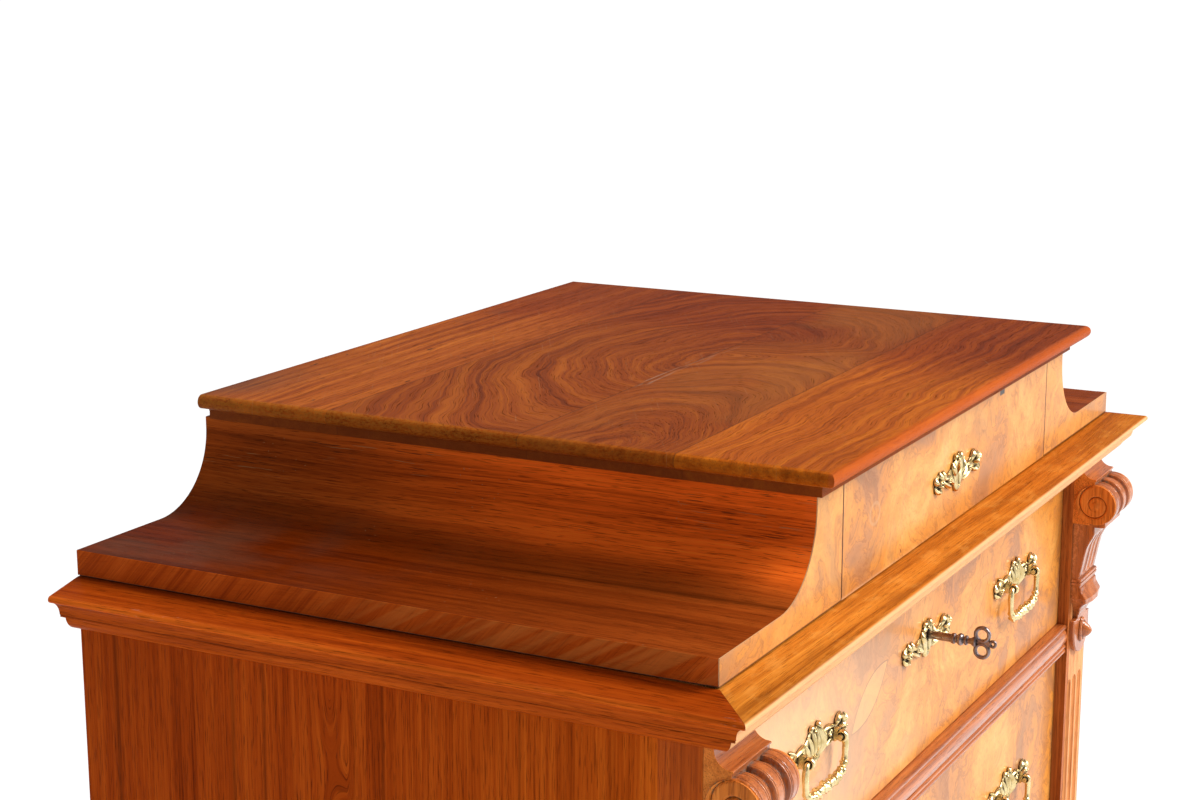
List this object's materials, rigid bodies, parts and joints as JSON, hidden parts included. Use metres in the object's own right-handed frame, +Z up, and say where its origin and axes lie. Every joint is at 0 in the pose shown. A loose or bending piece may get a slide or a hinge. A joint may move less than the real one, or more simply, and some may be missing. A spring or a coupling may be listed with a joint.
{
  "type": "tall chest of drawers",
  "caption": "Tall walnut chest with long drawers, a small drawer in a coved step, reeded rails, fluted pilasters with scroll corbels, bail pulls and a key.",
  "frame": {"origin": "under the middle of the object's box, on the floor that it stands on", "axes": "+Z up, +X to the right as seen from the front, the drawers' fronts face -Y"},
  "size_m": [0.95, 0.5572, 1.33],
  "materials": {
    "walnut_side": "straight-grained walnut veneer, French polished",
    "walnut_cove": "dark red-brown walnut with long grain, French polished and worn",
    "figured_walnut": "crotch-figured walnut veneer, French polished",
    "walnut_mouldings": "solid walnut with straight grain, French polished",
    "burl_walnut": "burl walnut veneer, French polished",
    "softwood": "bare aged pine",
    "gilt_brass": "cast brass, polished high and dark in the hollows",
    "bolt_brass": "plain brass, dull",
    "lock_iron": "dark iron",
    "key_iron": "dark polished iron, brown patina"
  },
  "bodies": {
    "root": {"side_panel_left": "walnut_side", "side_panel_right": "walnut_side", "pilaster_left": "walnut_mouldings", "pilaster_right": "walnut_mouldings", "corbel_left": "walnut_mouldings", "corbel_right": "walnut_mouldings", "drawer_rails": "walnut_mouldings", "drawer_runners": "softwood", "back_panel": "softwood", "bottom_board": "softwood", "carcase_top": "softwood", "cornice": "walnut_mouldings", "step_side_left": "walnut_cove", "step_side_right": "walnut_cove", "step_fascias": "burl_walnut", "step_back": "softwood", "top_slab": "figured_walnut", "plinth": "walnut_mouldings", "feet": "walnut_mouldings"},
    "step_drawer": {"step_drawer_front": "burl_walnut", "step_drawer_box": "softwood", "step_drawer_brasses": "gilt_brass", "step_drawer_lock_case": "lock_iron"},
    "step_drawer_bolt": {"step_drawer_lock_bolt": "bolt_brass"},
    "drawer_1": {"drawer_1_front": "burl_walnut", "drawer_1_box": "softwood", "drawer_1_brasses": "gilt_brass", "drawer_1_lock_case": "lock_iron"},
    "drawer_1_bolt": {"drawer_1_lock_bolt": "bolt_brass"},
    "bail_1_left": {"bail_1_left": "gilt_brass"},
    "bail_1_right": {"bail_1_right": "gilt_brass"},
    "drawer_2": {"drawer_2_front": "burl_walnut", "drawer_2_box": "softwood", "drawer_2_brasses": "gilt_brass", "drawer_2_lock_case": "lock_iron"},
    "drawer_2_bolt": {"drawer_2_lock_bolt": "bolt_brass"},
    "bail_2_left": {"bail_2_left": "gilt_brass"},
    "bail_2_right": {"bail_2_right": "gilt_brass"},
    "drawer_3": {"drawer_3_front": "burl_walnut", "drawer_3_box": "softwood", "drawer_3_brasses": "gilt_brass", "drawer_3_lock_case": "lock_iron"},
    "drawer_3_bolt": {"drawer_3_lock_bolt": "bolt_brass"},
    "bail_3_left": {"bail_3_left": "gilt_brass"},
    "bail_3_right": {"bail_3_right": "gilt_brass"},
    "drawer_4": {"drawer_4_front": "burl_walnut", "drawer_4_box": "softwood", "drawer_4_brasses": "gilt_brass", "drawer_4_lock_case": "lock_iron"},
    "drawer_4_bolt": {"drawer_4_lock_bolt": "bolt_brass"},
    "bail_4_left": {"bail_4_left": "gilt_brass"},
    "bail_4_right": {"bail_4_right": "gilt_brass"},
    "drawer_5": {"drawer_5_front": "burl_walnut", "drawer_5_box": "softwood", "drawer_5_brasses": "gilt_brass", "drawer_5_lock_case": "lock_iron"},
    "drawer_5_bolt": {"drawer_5_lock_bolt": "bolt_brass"},
    "bail_5_left": {"bail_5_left": "gilt_brass"},
    "bail_5_right": {"bail_5_right": "gilt_brass"},
    "key": {"key": "key_iron"}
  },
  "joints": [
    {"name": "step_drawer_slide", "type": "slide", "parent": "root", "child": "step_drawer", "axis": [0, -1, 0], "range_m": [0, 0.32]},
    {"name": "step_drawer_bolt_slide", "type": "slide", "parent": "step_drawer", "child": "step_drawer_bolt", "axis": [0, 0, 1], "range_m": [0, 0.008]},
    {"name": "drawer_1_slide", "type": "slide", "parent": "root", "child": "drawer_1", "axis": [0, -1, 0], "range_m": [0, 0.34]},
    {"name": "drawer_1_bolt_slide", "type": "slide", "parent": "drawer_1", "child": "drawer_1_bolt", "axis": [0, 0, 1], "range_m": [0, 0.008]},
    {"name": "bail_1_left_swing", "type": "hinge", "parent": "drawer_1", "child": "bail_1_left", "pos_m": [-0.234, -0.22835, 1.106], "axis": [-1, 0, 0], "range_deg": [0, 95]},
    {"name": "bail_1_right_swing", "type": "hinge", "parent": "drawer_1", "child": "bail_1_right", "pos_m": [0.234, -0.22835, 1.106], "axis": [-1, 0, 0], "range_deg": [0, 95]},
    {"name": "drawer_2_slide", "type": "slide", "parent": "root", "child": "drawer_2", "axis": [0, -1, 0], "range_m": [0, 0.34]},
    {"name": "drawer_2_bolt_slide", "type": "slide", "parent": "drawer_2", "child": "drawer_2_bolt", "axis": [0, 0, 1], "range_m": [0, 0.008]},
    {"name": "bail_2_left_swing", "type": "hinge", "parent": "drawer_2", "child": "bail_2_left", "pos_m": [-0.234, -0.22835, 0.904], "axis": [-1, 0, 0], "range_deg": [0, 95]},
    {"name": "bail_2_right_swing", "type": "hinge", "parent": "drawer_2", "child": "bail_2_right", "pos_m": [0.234, -0.22835, 0.904], "axis": [-1, 0, 0], "range_deg": [0, 95]},
    {"name": "drawer_3_slide", "type": "slide", "parent": "root", "child": "drawer_3", "axis": [0, -1, 0], "range_m": [0, 0.34]},
    {"name": "drawer_3_bolt_slide", "type": "slide", "parent": "drawer_3", "child": "drawer_3_bolt", "axis": [0, 0, 1], "range_m": [0, 0.008]},
    {"name": "bail_3_left_swing", "type": "hinge", "parent": "drawer_3", "child": "bail_3_left", "pos_m": [-0.234, -0.22835, 0.689], "axis": [-1, 0, 0], "range_deg": [0, 95]},
    {"name": "bail_3_right_swing", "type": "hinge", "parent": "drawer_3", "child": "bail_3_right", "pos_m": [0.234, -0.22835, 0.689], "axis": [-1, 0, 0], "range_deg": [0, 95]},
    {"name": "drawer_4_slide", "type": "slide", "parent": "root", "child": "drawer_4", "axis": [0, -1, 0], "range_m": [0, 0.34]},
    {"name": "drawer_4_bolt_slide", "type": "slide", "parent": "drawer_4", "child": "drawer_4_bolt", "axis": [0, 0, 1], "range_m": [0, 0.008]},
    {"name": "bail_4_left_swing", "type": "hinge", "parent": "drawer_4", "child": "bail_4_left", "pos_m": [-0.234, -0.22835, 0.474], "axis": [-1, 0, 0], "range_deg": [0, 95]},
    {"name": "bail_4_right_swing", "type": "hinge", "parent": "drawer_4", "child": "bail_4_right", "pos_m": [0.234, -0.22835, 0.474], "axis": [-1, 0, 0], "range_deg": [0, 95]},
    {"name": "drawer_5_slide", "type": "slide", "parent": "root", "child": "drawer_5", "axis": [0, -1, 0], "range_m": [0, 0.34]},
    {"name": "drawer_5_bolt_slide", "type": "slide", "parent": "drawer_5", "child": "drawer_5_bolt", "axis": [0, 0, 1], "range_m": [0, 0.008]},
    {"name": "bail_5_left_swing", "type": "hinge", "parent": "drawer_5", "child": "bail_5_left", "pos_m": [-0.234, -0.22835, 0.259], "axis": [-1, 0, 0], "range_deg": [0, 95]},
    {"name": "bail_5_right_swing", "type": "hinge", "parent": "drawer_5", "child": "bail_5_right", "pos_m": [0.234, -0.22835, 0.259], "axis": [-1, 0, 0], "range_deg": [0, 95]},
    {"name": "key_turn", "type": "hinge", "parent": "drawer_1", "child": "key", "pos_m": [0, -0.21835, 1.1224], "axis": [0, 1, 0], "range_deg": [0, 360]}
  ],
  "couplings": [
    {"joint": "key_turn", "follows": "drawer_1_bolt_slide", "rad_per_m": 785.4}
  ]
}
